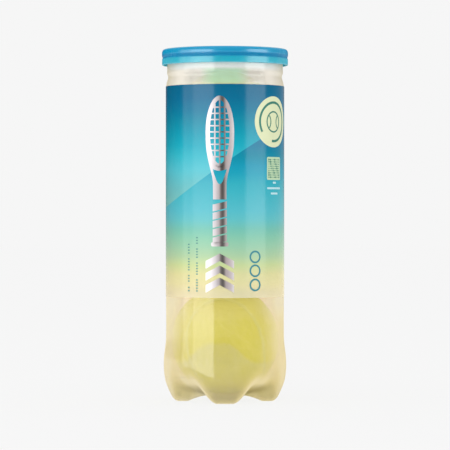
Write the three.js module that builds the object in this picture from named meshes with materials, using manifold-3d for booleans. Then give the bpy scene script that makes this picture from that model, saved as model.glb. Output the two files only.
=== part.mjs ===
// Tennis ball can: clear blow-moulded canister with four feet, wrap label, aluminium easy-open end
// with a ring pull, push-on plastic overcap and three balls.
// Millimetres, +Z up, origin on the axis at the level the feet stand on.
// The front faces -Y, one foot points to the front, and the ring pull's nose points to +X.
import * as THREE from "three";
import Module from "manifold-3d";
import { mergeVertices } from "three/addons/utils/BufferGeometryUtils.js";

const wasm = await Module();
wasm.setup();

// ---- shared dimensions ----
const CAN_SEGMENTS = 40; // facets round the can
const BODY_R = 36.5; // outside of the canister wall
const SHEET = 0.25; // aluminium thickness
const PANEL_Z = 211.6; // top of the tear-off panel's middle

// ---- materials ----
function material({ color, roughness, metalness = 0, opacity = 1 }) {
  const transparent = opacity < 1;
  return new THREE.MeshStandardMaterial({ color, roughness, metalness, opacity, transparent });
}
const clearPlastic = material({ color: 0xf3ead2, roughness: 0.08, opacity: 0.35 });
const labelFilm = material({ color: 0x1c9cb4, roughness: 0.35 });
const aluminium = material({ color: 0xc9cbce, roughness: 0.3, metalness: 1 });
const compound = material({ color: 0x8a8d90, roughness: 0.8 });
const capPlastic = material({ color: 0x0f9bc7, roughness: 0.3, opacity: 0.8 });
const felt = material({ color: 0xd9d83c, roughness: 0.95 });
const seamRubber = material({ color: 0xe8e6d6, roughness: 0.8 });
const coreRubber = material({ color: 0x3b3a38, roughness: 0.85 });

// ---- helpers ----
function mesh(name, geometry, surface) {
  const part = new THREE.Mesh(geometry, surface);
  part.name = name;
  return part;
}

// A surface of revolution about Z from [radius, z] points, turning from the front towards +X.
function turned(profile, segments = CAN_SEGMENTS) {
  const points = profile.map(([radius, z]) => new THREE.Vector2(radius, z));
  return new THREE.LatheGeometry(points, segments).rotateX(Math.PI / 2);
}

function tube(inner, outer, bottom, top) {
  return turned([[inner, bottom], [outer, bottom], [outer, top], [inner, top], [inner, bottom]]);
}

// The unit direction from one [radius, z] point to another.
function direction(from, to) {
  const radial = to[0] - from[0];
  const rise = to[1] - from[1];
  const length = Math.hypot(radial, rise);
  return [radial / length, rise / length];
}

// The closed profile of a sheet whose middle follows an open line of [radius, z] points.
function sheetProfile(line, thickness) {
  const left = [];
  const right = [];
  const last = line.length - 1;
  line.forEach(([radius, z], i) => {
    const arriving = i > 0 ? direction(line[i - 1], line[i]) : direction(line[0], line[1]);
    const leaving = i < last ? direction(line[i], line[i + 1]) : arriving;
    const bisector = [-(arriving[1] + leaving[1]), arriving[0] + leaving[0]];
    const [across, up] = direction([0, 0], bisector);
    // The mitre lengthens the offset at a corner, to twice its size at most.
    const mitre = Math.max(0.5, up * arriving[0] - across * arriving[1]);
    const offset = thickness / 2 / mitre;
    left.push([radius + across * offset, z + up * offset]);
    right.push([radius - across * offset, z - up * offset]);
  });
  return [...right, ...left.reverse(), right[0]];
}

function solid(geometry) {
  const bare = new THREE.BufferGeometry();
  bare.setAttribute("position", geometry.toNonIndexed().getAttribute("position"));
  const merged = mergeVertices(bare, 1e-4);
  return new wasm.Manifold(new wasm.Mesh({
    numProp: 3,
    vertProperties: merged.attributes.position.array,
    triVerts: new Uint32Array(merged.index.array),
  }));
}

function geometryOf(manifold) {
  const { vertProperties, triVerts } = manifold.getMesh();
  return new THREE.BufferGeometry()
    .setAttribute("position", new THREE.BufferAttribute(new Float32Array(vertProperties), 3))
    .setIndex(new THREE.BufferAttribute(new Uint32Array(triVerts), 1));
}

// ---- canister ----
const FEET = 4;
const FOOT_PAD = 0.16; // radians each side of a foot's middle that keep its full shape
const WALL = 0.5;
const NECK_R = 35.8;
const GROOVE_R = 35.15;
const BEAD_R = 36.08;

// The outside of the base, from the axis out: [foot radius, foot z, valley radius, valley z].
// A valley lies midway between two feet.
const BASE = [
  [0, 3.6, 0, 3.6],
  [8, 3.5, 8, 4.0],
  [14, 3.0, 14, 4.9],
  [19.5, 1.5, 19.5, 6.5],
  [23.4, 0, 23.6, 8.4],
  [28.7, 0, 27.2, 10.4],
  [30.4, 0.35, 29.1, 11.8],
  [31.7, 1.5, 30.9, 13.2],
  [32.9, 2.9, 32.5, 14.8],
  [34.1, 5.4, 34.1, 16.6],
  [35.4, 8.3, 35.6, 18.7],
  [36.8, 12.2, 36.8, 21.2],
  [37.8, 18.5, 37.6, 24.2],
  [37.8, 26.8, 37.7, 27.6],
];
// The outside of the wall from the base up to the neck: [radius, z].
const WALL_OUTSIDE = [
  [37.3, 31.6], [36.75, 36.0], [BODY_R, 42.0], [BODY_R, 194.9], [36.1, 197.0], [35.3, 199.2],
  [GROOVE_R, 200.0], [BEAD_R, 201.2], [BEAD_R, 201.8], [NECK_R, 202.6],
];
// The neck's end, which curls out and down into the rolled rim: [radius, z].
const NECK_CURL = [
  [NECK_R, 214.9], [36.0, 215.2], [36.3, 215.1], [36.3, 213.9], [36.75, 213.9],
  [36.75, 215.4], [36.45, 215.7], [35.65, 215.7], [NECK_R - WALL, 215.35],
];

// The same line, one wall thickness further in.
function insideOf(line) {
  return line.map(([radius, z], i) => {
    if (radius === 0) return [0, z + WALL];
    const before = line[Math.max(0, i - 1)];
    const after = line[Math.min(line.length - 1, i + 1)];
    const [across, up] = direction(before, after);
    return [radius - up * WALL, z + across * WALL];
  });
}

function canisterProfile(baseLine) {
  const outside = [...baseLine, ...WALL_OUTSIDE];
  return [...outside, ...NECK_CURL, ...insideOf(outside).reverse()];
}

// 1 on a foot, 0 in a valley, with a smooth step between them.
function footShare(angle) {
  const halfPitch = Math.PI / FEET;
  const fromFoot = Math.abs(((angle + halfPitch) % (2 * halfPitch)) - halfPitch);
  return 1 - THREE.MathUtils.smoothstep(fromFoot, FOOT_PAD, halfPitch);
}

function canister() {
  const foot = canisterProfile(BASE.map(([radius, z]) => [radius, z]));
  const valley = canisterProfile(BASE.map(([, , radius, z]) => [radius, z]));
  const geometry = turned(foot);
  const position = geometry.getAttribute("position");
  for (let i = 0; i <= CAN_SEGMENTS; i++) {
    const angle = ((i % CAN_SEGMENTS) / CAN_SEGMENTS) * 2 * Math.PI;
    const share = footShare(angle);
    for (let j = 0; j < foot.length; j++) {
      const radius = THREE.MathUtils.lerp(valley[j][0], foot[j][0], share);
      const z = THREE.MathUtils.lerp(valley[j][1], foot[j][1], share);
      const x = radius * Math.sin(angle);
      const y = -radius * Math.cos(angle);
      position.setXYZ(i * foot.length + j, x, y, z);
    }
  }
  return mesh("can_body", geometry, clearPlastic);
}

// ---- label ----
const LABEL_GAP = 0.05;
const LABEL_THICKNESS = 0.15;
const LABEL_BOTTOM = 64.8;
const LABEL_TOP = 194.5;

function labelSleeve() {
  const inner = BODY_R + LABEL_GAP;
  const geometry = tube(inner, inner + LABEL_THICKNESS, LABEL_BOTTOM, LABEL_TOP);
  return mesh("label_sleeve", geometry, labelFilm);
}

// ---- easy-open end ----
const RIM_TOP = 216.2;
const RIM_INNER_R = 35.13; // the rolled rim's inner and outer walls, middle of the sheet
const RIM_OUTER_R = 36.97;
const PANEL_R = 33.9; // up to the score line
const PANEL_EDGE_Z = 210.85; // underside of the panel's lower edge
const RIVET_X = 24;

// The middle of the sheet, from beside the panel over the rim to its tucked end: [radius, z].
const END_RING_LINE = [
  [34.15, 210.8], [34.35, 210.25], [34.8, 210.1], [RIM_INNER_R, 210.6], [RIM_INNER_R, 215.6],
  [35.5, RIM_TOP - SHEET / 2], [36.6, RIM_TOP - SHEET / 2], [RIM_OUTER_R, 215.6],
  [RIM_OUTER_R, 213.65], [36.7, 213.3], [36.25, 213.35], [36.07, 213.7], [36.07, 214.7],
];
// The tear-off panel, underside then top: [radius, z].
const PANEL_PROFILE = [
  [0, PANEL_Z - SHEET], [31.4, PANEL_Z - SHEET], [32.2, PANEL_EDGE_Z], [PANEL_R, PANEL_EDGE_Z],
  [PANEL_R, PANEL_EDGE_Z + SHEET], [32.3, PANEL_EDGE_Z + SHEET], [31.5, PANEL_Z], [0, PANEL_Z],
];

function endRing() {
  return mesh("end_ring", turned(sheetProfile(END_RING_LINE, SHEET)), aluminium);
}

function sealingCompound() {
  return mesh("sealing_compound", tube(35.75, 36.4, 215.76, 215.9), compound);
}

// A disc of the rivet, its middle raised above the panel.
function rivetDisc({ topRadius, bottomRadius, height, raised }) {
  const disc = new THREE.CylinderGeometry(topRadius, bottomRadius, height, 16);
  return solid(disc.rotateX(Math.PI / 2).translate(RIVET_X, 0, PANEL_Z + raised));
}

function tearPanel() {
  const stem = rivetDisc({ topRadius: 1.6, bottomRadius: 1.6, height: 1.0, raised: 0.4 });
  const button = rivetDisc({ topRadius: 2.5, bottomRadius: 2.7, height: 0.5, raised: 0.9 });
  const panel = solid(turned(PANEL_PROFILE)).add(stem).add(button);
  return mesh("tear_panel", geometryOf(panel), aluminium);
}

// ---- ring pull ----
const NOSE_X = 31;
const NOSE_HALF = 3.2; // half width where the nose's end meets its sides
const SHOULDER_X = 20;
const SHOULDER_HALF = 8.8;
const HEEL_X = 2.5;

function addRectangle(path, startX, endX, halfWidth) {
  path.moveTo(startX, -halfWidth);
  path.lineTo(endX, -halfWidth);
  path.lineTo(endX, halfWidth);
  path.lineTo(startX, halfWidth);
  path.lineTo(startX, -halfWidth);
  return path;
}

// A flat plate extruded up, its underside raised above the panel.
function plate(shape, { depth, curveSegments, raised }) {
  const geometry = new THREE.ExtrudeGeometry(shape, { depth, curveSegments, bevelEnabled: false });
  return geometry.translate(0, 0, PANEL_Z + raised);
}

function pullTab() {
  const outline = new THREE.Shape();
  outline.moveTo(NOSE_X, -NOSE_HALF);
  outline.quadraticCurveTo(NOSE_X + 0.6, 0, NOSE_X, NOSE_HALF);
  outline.bezierCurveTo(NOSE_X - 1.5, 7.4, 25, 8.6, SHOULDER_X, SHOULDER_HALF);
  outline.bezierCurveTo(9, 10.6, HEEL_X, 9.0, HEEL_X, 0);
  outline.bezierCurveTo(HEEL_X, -9.0, 9, -10.6, SHOULDER_X, -SHOULDER_HALF);
  outline.bezierCurveTo(25, -8.6, NOSE_X - 1.5, -7.4, NOSE_X, -NOSE_HALF);
  const fingerHole = new THREE.Path();
  fingerHole.absellipse(11.2, 0, 6.4, 6.9, 0, 2 * Math.PI, true);
  const tongueSlot = addRectangle(new THREE.Path(), 20.0, 28.9, 4.0);
  outline.holes.push(fingerHole, tongueSlot);
  const geometry = plate(outline, { depth: 1.25, curveSegments: 7, raised: 0.2 });
  return mesh("pull_tab", geometry, aluminium);
}

// The plate round the rivet, inside the tab's slot.
function rivetTongue() {
  const tongue = addRectangle(new THREE.Shape(), 20.7, 28.5, 3.2);
  const rivetHole = new THREE.Path();
  rivetHole.absarc(RIVET_X, 0, 1.85, 0, 2 * Math.PI, true);
  tongue.holes.push(rivetHole);
  const geometry = plate(tongue, { depth: 0.3, curveSegments: 10, raised: 0.15 });
  return mesh("tab_rivet_tongue", geometry, aluminium);
}

// ---- overcap ----
const CAP_R = 39.1;
const CAP_SKIRT_R = 38.95;
const CAP_TOP = 217.5;
const CAP_BOTTOM = 207.6;
const CAP_PANEL_Z = 216.0; // top of the sunk middle
const CAP_PANEL_THICKNESS = 0.7;
const CAP_GROOVE_Z = 212.1; // the shallow groove round the outside
const CAP_GROOVE_HALF = 0.25;

// Underside and inside of the skirt, then outside and top: [radius, z].
const CAP_PROFILE = [
  [0, CAP_PANEL_Z - CAP_PANEL_THICKNESS], [33.0, CAP_PANEL_Z - CAP_PANEL_THICKNESS],
  [34.0, 216.4], [37.2, 216.4], [37.75, 216.1], [37.85, 213.4], [37.25, 212.7], [37.25, 212.1],
  [37.85, 211.3], [37.9, CAP_BOTTOM],
  [38.85, CAP_BOTTOM], [CAP_SKIRT_R, 208.0], [CAP_SKIRT_R, CAP_GROOVE_Z - CAP_GROOVE_HALF],
  [38.7, CAP_GROOVE_Z], [CAP_SKIRT_R, CAP_GROOVE_Z + CAP_GROOVE_HALF],
  [CAP_R, 213.6], [CAP_R, 216.5], [38.8, 217.2], [38.2, CAP_TOP], [36.2, CAP_TOP],
  [35.6, 217.2], [34.6, 217.1], [33.6, CAP_PANEL_Z], [0, CAP_PANEL_Z],
];

function overcap() {
  return mesh("overcap", turned(CAP_PROFILE), capPlastic);
}

// ---- balls ----
const BALL_R = 33.35;
const BALL_PITCH = 2 * BALL_R + 0.1; // a small gap keeps the balls apart
const FIRST_BALL_Z = 37.65;
const CORE_R = 29.9;
const CORE_WALL = 3.3;
const CORE_JOINT_Z = 0.03; // each half's joint face stands this far off the ball's middle
const CORE_ROWS = 4;
const CORE_SEGMENTS = 16;
const FELT_INNER_R = 30.4;
const FELT_GAP = 1.45; // from the seam's middle to the felt
const FELT_COLUMNS = 6;
const SEAM_R = 32.75; // outside of the seam ribbon
const SEAM_HALF = 1.3;
const SEAM_A = 0.75; // shape of the seam curve
const SEAM_B = 0.25;
const SEAM_STEPS = 24; // along half of the seam
const SEAM_START = Math.PI / 4; // curve parameter at a felt panel's tip
// How each ball lies, as rotations about x, y and z in radians.
const BALL_ROTATIONS = [[0.12, -0.25, 0.79], [1.2, 0.5, -0.4], [-1.04, 1.74, 0.51]];

// The seam of a tennis ball as a closed curve on the unit sphere.
function seamPoint(t) {
  return new THREE.Vector3(
    SEAM_A * Math.cos(t) + SEAM_B * Math.cos(3 * t),
    SEAM_A * Math.sin(t) - SEAM_B * Math.sin(3 * t),
    2 * Math.sqrt(SEAM_A * SEAM_B) * Math.sin(2 * t),
  ).normalize();
}

// The seam moved sideways by a distance on the ball's surface.
function seamBeside(t, distance) {
  const point = seamPoint(t);
  const along = seamPoint(t + 1e-3).sub(seamPoint(t - 1e-3)).normalize();
  const sideways = new THREE.Vector3().crossVectors(point, along);
  return point.addScaledVector(sideways, distance / BALL_R).normalize();
}

const flipped = (triangles) => triangles.map(([a, b, c]) => [a, c, b]);

// A closed geometry with its faces turned to point out.
function outwardGeometry(positions, triangles) {
  const geometry = new THREE.BufferGeometry()
    .setAttribute("position", new THREE.Float32BufferAttribute(positions, 3))
    .setIndex(triangles.flat());
  if (solid(geometry).volume() < 0) geometry.setIndex(flipped(triangles).flat());
  return geometry;
}

// Rows of unit vectors across a felt panel, each between two mirrored points of its edge.
// The first and last rows are single points.
function feltRows(start, side) {
  const rows = [];
  for (let i = 0; i <= SEAM_STEPS; i++) {
    const t = (i / SEAM_STEPS) * Math.PI;
    const from = seamBeside(start + t, side * FELT_GAP);
    const to = seamBeside(start - t, side * FELT_GAP);
    const angle = from.angleTo(to);
    const row = [];
    if (i === 0 || i === SEAM_STEPS) {
      row.push(from);
    } else {
      for (let j = 0; j <= FELT_COLUMNS; j++) {
        const share = j / FELT_COLUMNS;
        const point = from.clone().multiplyScalar(Math.sin((1 - share) * angle));
        row.push(point.addScaledVector(to, Math.sin(share * angle)).normalize());
      }
    }
    rows.push(row);
  }
  return rows;
}

function layerTriangles(layer) {
  const triangles = [];
  for (let i = 0; i < SEAM_STEPS; i++) {
    const row = layer[i];
    const next = layer[i + 1];
    for (let j = 0; j < FELT_COLUMNS; j++) {
      if (row.length === 1) triangles.push([row[0], next[j], next[j + 1]]);
      else if (next.length === 1) triangles.push([row[j], next[0], row[j + 1]]);
      else triangles.push([row[j], next[j], row[j + 1]], [row[j + 1], next[j], next[j + 1]]);
    }
  }
  return triangles;
}

// The loop of vertices round a layer: up its first column and back down its last.
function layerEdge(layer) {
  const back = layer.slice(1, -1).map((row) => row.at(-1)).reverse();
  return [...layer.map((row) => row[0]), ...back];
}

function feltPanel(start, side) {
  const rows = feltRows(start, side);
  const positions = [];
  const addVertex = (point, radius) => {
    positions.push(point.x * radius, point.y * radius, point.z * radius);
    return positions.length / 3 - 1;
  };
  const [outer, inner] = [BALL_R, FELT_INNER_R].map((radius) =>
    rows.map((row) => row.map((point) => addVertex(point, radius))));
  const triangles = [...layerTriangles(outer), ...flipped(layerTriangles(inner))];
  const outerEdge = layerEdge(outer);
  const innerEdge = layerEdge(inner);
  outerEdge.forEach((vertex, i) => {
    const j = (i + 1) % outerEdge.length;
    triangles.push([vertex, innerEdge[i], outerEdge[j]]);
    triangles.push([outerEdge[j], innerEdge[i], innerEdge[j]]);
  });
  return outwardGeometry(positions, triangles);
}

function seamRibbon() {
  const count = SEAM_STEPS * 2;
  // Corners of the ribbon's section: [sideways, radius].
  const section = [
    [-SEAM_HALF, FELT_INNER_R], [SEAM_HALF, FELT_INNER_R], [SEAM_HALF, SEAM_R], [-SEAM_HALF, SEAM_R],
  ];
  const positions = [];
  const triangles = [];
  for (let i = 0; i < count; i++) {
    const t = SEAM_START + (i / count) * 2 * Math.PI;
    const here = i * 4;
    const next = ((i + 1) % count) * 4;
    section.forEach(([sideways, radius], k) => {
      positions.push(...seamBeside(t, sideways).multiplyScalar(radius));
      const m = (k + 1) % 4;
      triangles.push([here + k, here + m, next + k], [here + m, next + m, next + k]);
    });
  }
  return outwardGeometry(positions, triangles);
}

// A quarter circle of [radius, z] points from the axis to the joint face.
function coreArc(radius) {
  return Array.from({ length: CORE_ROWS + 1 }, (_, i) => {
    const angle = (i / CORE_ROWS) * (Math.PI / 2);
    const z = i === CORE_ROWS ? CORE_JOINT_Z : radius * Math.cos(angle);
    return [radius * Math.sin(angle), z];
  });
}

// The upper half of the hollow rubber core.
function coreHalf() {
  return turned([...coreArc(CORE_R - CORE_WALL), ...coreArc(CORE_R).reverse()], CORE_SEGMENTS);
}

function tennisBall(rotation, i) {
  const name = `ball_${i + 1}`;
  const lowerHalf = mesh(`${name}_core_half_b`, coreHalf(), coreRubber);
  lowerHalf.rotation.x = Math.PI;
  const ball = new THREE.Group();
  ball.add(
    mesh(`${name}_core_half_a`, coreHalf(), coreRubber),
    lowerHalf,
    mesh(`${name}_felt_a`, feltPanel(SEAM_START, -1), felt),
    mesh(`${name}_felt_b`, feltPanel(SEAM_START + Math.PI / 2, 1), felt),
    mesh(`${name}_seam`, seamRibbon(), seamRubber),
  );
  ball.position.set(0, 0, FIRST_BALL_Z + i * BALL_PITCH);
  ball.rotation.set(...rotation);
  return ball;
}

// ---- assembly ----
const can = new THREE.Group();
can.add(
  canister(),
  labelSleeve(),
  endRing(),
  sealingCompound(),
  tearPanel(),
  pullTab(),
  rivetTongue(),
  overcap(),
  ...BALL_ROTATIONS.map(tennisBall),
);

export default can;
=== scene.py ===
"""A clear PET can of three tennis balls, with a printed wrap label, a ring-pull metal end and
a blue push-on cap. It stands on z = 0 with its axis on Z. The front faces the camera at -Y,
and +X is to the camera's right. Profiles and artwork are in millimetres, meshes in metres.
Angles round the can start at the front and grow towards +X."""
import bpy, bmesh, math
import numpy as np
from functools import cached_property
from mathutils import Matrix, Vector, noise, geometry


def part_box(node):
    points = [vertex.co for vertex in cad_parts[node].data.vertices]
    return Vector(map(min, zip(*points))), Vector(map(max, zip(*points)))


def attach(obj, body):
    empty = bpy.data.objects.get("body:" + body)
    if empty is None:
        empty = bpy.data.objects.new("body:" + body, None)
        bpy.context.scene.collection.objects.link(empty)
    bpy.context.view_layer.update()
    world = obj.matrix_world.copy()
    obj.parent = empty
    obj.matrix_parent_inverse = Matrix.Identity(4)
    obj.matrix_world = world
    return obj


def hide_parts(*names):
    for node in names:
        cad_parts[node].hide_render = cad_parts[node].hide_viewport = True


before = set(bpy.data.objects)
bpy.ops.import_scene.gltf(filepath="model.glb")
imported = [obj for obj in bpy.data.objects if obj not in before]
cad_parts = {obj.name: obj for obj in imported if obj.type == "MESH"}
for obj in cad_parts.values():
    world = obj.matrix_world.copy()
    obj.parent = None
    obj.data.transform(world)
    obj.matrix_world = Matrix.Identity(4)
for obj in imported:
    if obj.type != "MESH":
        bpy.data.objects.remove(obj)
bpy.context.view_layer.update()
scene = bpy.context.scene
MM = 0.001


def box_mm(*names):
    """Lowest and highest corners of some CAD nodes together, in millimetres."""
    low = [min(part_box(n)[0][k] for n in names) * 1000 for k in range(3)]
    high = [max(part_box(n)[1][k] for n in names) * 1000 for k in range(3)]
    return low, high


CAN_TOP = box_mm("can_body")[1][2]
(_, _, LABEL_BOTTOM), (LABEL_RADIUS, _, LABEL_TOP) = box_mm("label_sleeve")
RIM_TOP = box_mm("end_ring")[1][2]
(_, _, CAP_BOTTOM), (CAP_RADIUS, _, CAP_TOP) = box_mm("overcap")
(_, _, TAB_BOTTOM), (_, _, TAB_TOP) = box_mm("pull_tab")
PANEL_BOTTOM = box_mm("tear_panel")[0][2]

FEET = 4             # one of them points to the front
FOOT_TURN = math.pi / FEET  # from the middle of a foot to the middle of a valley
LABEL_THICKNESS = 0.15
PRINT_RADIUS = 36.7  # arc lengths on the label are measured at this radius
# inner and outer radius of each layer of print
PRINT = (36.71, 36.745)
STRING_PRINT = (36.715, 36.735)
OVERPRINT = (36.75, 36.775)
THIN_OVERPRINT = (36.75, 36.77)
PRINT_STEP = 1.6     # arc length between the cuts that let the print bend
BALL_RADIUS = 33.2
BACKDROP = (246, 246, 246)


# ------------------------------------------------------------------ mesh helpers
def smooth_by_angle(mesh, sharp_angle):
    mesh.polygons.foreach_set("use_smooth", [True] * len(mesh.polygons))
    mesh.set_sharp_from_angle(angle=math.radians(sharp_angle))


def link_object(name, data):
    piece = bpy.data.objects.new(name, data)
    scene.collection.objects.link(piece)
    return piece


def mesh_object(name, vertices, faces, sharp_angle=None):
    """A mesh with outward normals; flat shaded unless a sharp angle is given."""
    mesh = bpy.data.meshes.new(name)
    mesh.from_pydata(vertices, [], faces)
    mesh.validate()
    mesh.update()
    piece = link_object(name, mesh)
    bm = bmesh.new()
    bm.from_mesh(mesh)
    bmesh.ops.recalc_face_normals(bm, faces=bm.faces)
    bm.to_mesh(mesh)
    bm.free()
    if sharp_angle:
        smooth_by_angle(mesh, sharp_angle)
    return piece


def paint(piece, material):
    piece.data.materials.clear()
    piece.data.materials.append(material)


def register(piece, body, slot, *nodes):
    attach(piece, body)
    if nodes:
        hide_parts(*nodes)


def finish_piece(piece, body, slot, material, *nodes):
    paint(piece, material)
    register(piece, body, slot, *nodes)


def round_corners(points, closed=False, passes=2):
    """Cuts every corner of a polyline at a quarter of its sides; open ends stay put."""
    for _ in range(passes):
        rounded = []
        count = len(points)
        for i, (x, y) in enumerate(points):
            if not closed and i in (0, count - 1):
                rounded.append((x, y))
                continue
            for near in (points[i - 1], points[(i + 1) % count]):
                rounded.append((x * 0.75 + near[0] * 0.25, y * 0.75 + near[1] * 0.25))
        points = rounded
    return points


def turns(segments):
    return [2 * math.pi * i / segments for i in range(segments)]


def on_circle(radius, angle, height):
    """A point in metres from a radius and height in millimetres."""
    return radius * math.sin(angle) * MM, -radius * math.cos(angle) * MM, height * MM


def stack_rings(rows, segments):
    """Vertices, and one ring of indices per row. A row of one point is a centre."""
    vertices, rings = [], []
    for row in rows:
        start = len(vertices)
        rings.append([start + (i if len(row) > 1 else 0) for i in range(segments)])
        vertices += row
    return vertices, rings


def band_faces(rings, closed=False):
    """Quads between neighbouring rings, triangles where one ring is a centre."""
    faces = []
    for ring, following in zip(rings, rings[1:] + (rings[:1] if closed else [])):
        for i in range(len(ring)):
            k = (i + 1) % len(ring)
            face = list(dict.fromkeys((ring[i], ring[k], following[k], following[i])))
            if len(face) >= 3:
                faces.append(face)
    return faces


def lathe(name, profile, segments, sharp_angle):
    """A solid of revolution from a closed profile of (radius, height)."""
    rows = [[on_circle(r, a, z) for a in turns(segments)] if r >= 1e-6 else [(0, 0, z * MM)]
            for r, z in profile]
    vertices, rings = stack_rings(rows, segments)
    return mesh_object(name, vertices, band_faces(rings, closed=True), sharp_angle)


def thicken(line, thickness):
    """Closed (radius, height) outline of a sheet that follows an open line."""
    left, right = [], []
    for i, (r, z) in enumerate(line):
        directions = [Vector((line[b][0] - line[a][0], line[b][1] - line[a][1])).normalized()
                      for a, b in ((i - 1, i), (i, i + 1)) if a >= 0 and b < len(line)]
        middle = sum(directions, Vector((0, 0))).normalized()
        reach = thickness / 2 / max(0.6, middle.dot(directions[0]))
        left.append((r - middle.y * reach, z + middle.x * reach))
        right.append((r + middle.y * reach, z - middle.x * reach))
    return right + left[::-1]


# ------------------------------------------------------------------ shader helpers
def srgb(*rgb):
    """Linear RGBA from an 8-bit sRGB colour."""
    shares = [v / 255 for v in rgb]
    return (*[c / 12.92 if c <= 0.04045 else ((c + 0.055) / 1.055) ** 2.4 for c in shares], 1.0)


def shifted(rgb, by):
    return tuple(max(0, min(255, v + by)) for v in rgb)


class Value:
    """A shader output that calculates like a number; each step makes one node."""

    def __init__(self, graph, socket):
        self.graph, self.socket = graph, socket

    def __add__(self, other):
        return self.graph.math("ADD", self, other)

    def __sub__(self, other):
        return self.graph.math("SUBTRACT", self, other)

    def __rsub__(self, other):
        return self.graph.math("SUBTRACT", other, self)

    def __mul__(self, other):
        return self.graph.math("MULTIPLY", self, other)

    def __truediv__(self, other):
        return self.graph.math("DIVIDE", self, other)

    def __abs__(self):
        return self.graph.math("ABSOLUTE", self)

    def scaled(self, by, plus):
        return self.graph.math("MULTIPLY_ADD", self, by, plus)

    def linear(self, over, to=(0, 1), kind="LINEAR"):
        """Maps the range over, whose ends may run downwards, to the range to."""
        ends = dict(zip(("From Min", "From Max", "To Min", "To Max"), (*over, *to)))
        return self.graph.value("MapRange", {"Value": self, **ends}, "Result",
                                interpolation_type=kind, clamp=True)

    def smooth(self, over, to=(0, 1)):
        return self.linear(over, to, "SMOOTHSTEP")

    def between(self, low, high):
        """Spreads a noise, which lies mostly in 0.3 to 0.7, from low to high."""
        return self.linear(over=(0.3, 0.7), to=(low, high))


class Graph:
    """The node tree of a material or world. Colours of three numbers are 8-bit sRGB."""

    def __init__(self, owner, output="OutputMaterial"):
        owner.use_nodes = True
        self.owner, self.tree = owner, owner.node_tree
        self.tree.nodes.clear()
        self.end = self.node(output)

    def node(self, kind, inputs=None, **settings):
        node = self.tree.nodes.new("ShaderNode" + kind)
        for name, setting in settings.items():
            setattr(node, name, setting)
        for key, value in (inputs or {}).items():
            self.feed(node.inputs[key], value)
        return node

    def feed(self, socket, value):
        if isinstance(value, Value):
            self.tree.links.new(value.socket, socket)
            return
        if socket.type == "RGBA" and len(value) == 3:
            value = srgb(*value)
        socket.default_value = value

    def value(self, kind, inputs=None, output=0, **settings):
        return Value(self, self.node(kind, inputs, **settings).outputs[output])

    def math(self, operation, *operands, clamp=False):
        return self.value("Math", dict(enumerate(operands)), operation=operation,
                          use_clamp=clamp)

    def add_shares(self, total, *shares):
        """Adds (value, share) products to a total and clamps the last sum to 0..1."""
        for i, (value, share) in enumerate(shares):
            total = self.math("ADD", total, value * share, clamp=i == len(shares) - 1)
        return total

    def separate(self, vector):
        return [Value(self, s) for s in self.node("SeparateXYZ", {0: vector}).outputs]

    def normalize(self, vector):
        return self.value("VectorMath", {0: vector}, operation="NORMALIZE")

    @cached_property
    def position(self):
        return self.value("TexCoord", output="Object")

    @cached_property
    def axes(self):
        """x, y and z in metres."""
        return self.separate(self.position)

    @cached_property
    def angle(self):
        """Angle round the can from the front, in radians."""
        return self.math("ARCTAN2", self.axes[0], self.axes[1] * -1.0)

    @cached_property
    def radius(self):
        x, y, _ = self.axes
        return self.math("SQRT", x * x + y * y)

    @cached_property
    def facing(self):
        """0 where the surface faces the viewer, 1 where it is seen edge on."""
        return self.value("LayerWeight", {"Blend": 0.5}, "Facing")

    @cached_property
    def light_path(self):
        return self.node("LightPath")

    def ray(self, name):
        return Value(self, self.light_path.outputs[name])

    def ramp(self, position, stops):
        node = self.node("ValToRGB", {0: position})
        node.color_ramp.interpolation = "LINEAR"
        elements = node.color_ramp.elements
        elements.remove(elements[-1])
        elements[0].position, elements[0].color = stops[0][0], srgb(*stops[0][1])
        for place, rgb in stops[1:]:
            elements.new(place).color = srgb(*rgb)
        return Value(self, node.outputs[0])

    def mix(self, amount, first, second):
        return self.value("Mix", {0: amount, 6: first, 7: second}, 2, data_type="RGBA",
                          blend_type="MIX", clamp_factor=True)

    def layered(self, colour, *layers):
        """Mixes (amount, colour) layers over a colour, one after another."""
        for amount, layer in layers:
            colour = self.mix(amount, colour, layer)
        return colour

    def mix_shader(self, amount, first, second):
        return self.value("MixShader", {0: amount, 1: first, 2: second})

    def noise(self, scale, detail=3, roughness=0.5, stretch_z=None, at=None):
        """A noise; stretch_z below 1 draws it out along the can."""
        at = at or self.position
        if stretch_z:
            at = self.value("Mapping", {"Scale": (1, 1, stretch_z), "Vector": at})
        return self.value("TexNoise", {"Scale": scale, "Detail": detail,
                                       "Roughness": roughness, "Vector": at}, "Fac")

    def bump(self, height, strength, distance):
        return self.value("Bump", {"Strength": strength, "Distance": distance,
                                   "Height": height})

    def bsdf(self, kind, **inputs):
        return self.value("Bsdf" + kind, {k.replace("_", " "): v for k, v in inputs.items()})

    def surface(self, shader):
        self.feed(self.end.inputs["Surface"], shader)
        return self.owner


def new_graph(name):
    return Graph(bpy.data.materials.new(name))


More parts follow.
